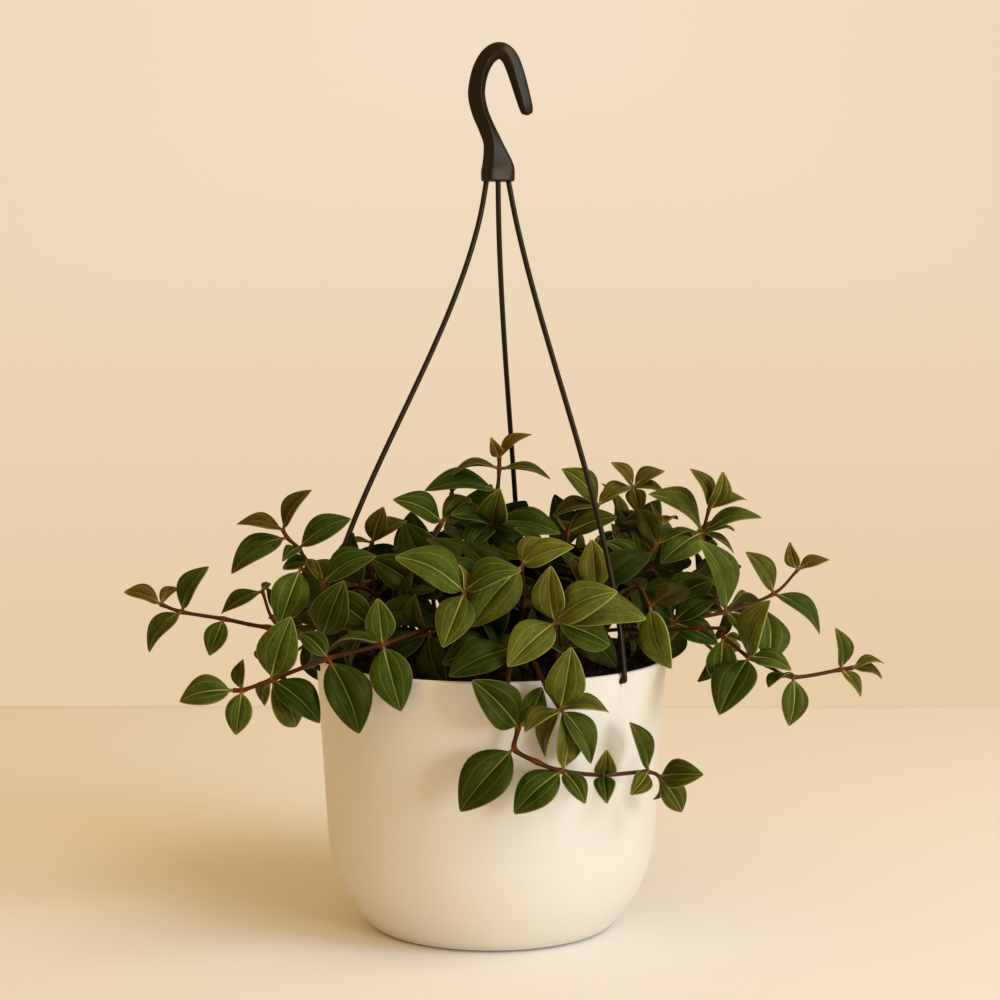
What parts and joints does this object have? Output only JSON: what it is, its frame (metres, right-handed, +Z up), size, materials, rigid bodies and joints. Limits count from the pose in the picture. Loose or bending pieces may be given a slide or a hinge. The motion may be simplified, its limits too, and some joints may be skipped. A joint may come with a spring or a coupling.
{
  "type": "potted trailing peperomia in a hanging pot",
  "caption": "Trailing peperomia with pointed oval leaves in a smooth round pot, with stiff strands that rise to a moulded hook.",
  "frame": {"origin": "centre of the pot's flat underside, on the surface it stands on", "axes": "+Z up along the pot's axis, +X to the right and -Y towards the viewer of the pictured side"},
  "size_m": [0.3825, 0.2878, 0.4527],
  "materials": {
    "pot_plastic": "matte",
    "hanger_plastic": "satin",
    "potting_soil": "matte",
    "plant": "satin"
  },
  "bodies": {
    "root": {"pot": "pot_plastic", "soil": "potting_soil", "hook": "hanger_plastic", "strand_left": "hanger_plastic", "strand_back": "hanger_plastic", "strand_right": "hanger_plastic", "stem_far_left": "plant", "stem_left_back": "plant", "stem_upper_left": "plant", "stem_left_inner": "plant", "stem_low_left": "plant", "stem_top_left": "plant", "stem_mid_left": "plant", "stem_thin_mid": "plant", "stem_top_mid": "plant", "stem_front_left": "plant", "stem_front_mid": "plant", "stem_front_right": "plant", "stem_over_front": "plant", "stem_trailing": "plant", "stem_right_high": "plant", "stem_right_mid": "plant", "stem_right_top": "plant", "stem_top_right": "plant", "stem_high_mid": "plant", "stem_right": "plant", "stem_right_low": "plant", "stem_centre_right": "plant", "stem_back_right": "plant", "stem_back_right_low": "plant", "stem_back_right_high": "plant", "stem_back_outer": "plant", "stem_back_mid_high": "plant", "stem_back_trailing": "plant", "stem_back_mid": "plant", "stem_back_crown": "plant", "stem_back_left_outer": "plant", "stem_back_left_high": "plant", "stem_back_left_low": "plant", "stem_back_left": "plant", "stem_side_left": "plant", "stem_side_right": "plant", "stem_crown_front": "plant", "stem_crown_front_low": "plant", "stem_crown_front_left": "plant", "stem_crown_front_right": "plant", "stem_crown_left": "plant", "stem_crown_far_left": "plant", "stem_crown_right": "plant", "stem_crown_back": "plant", "stem_crown_back_left": "plant", "stem_crown_back_right": "plant", "stem_crown_low_right": "plant", "stem_crown_mid": "plant"}
  },
  "joints": []
}
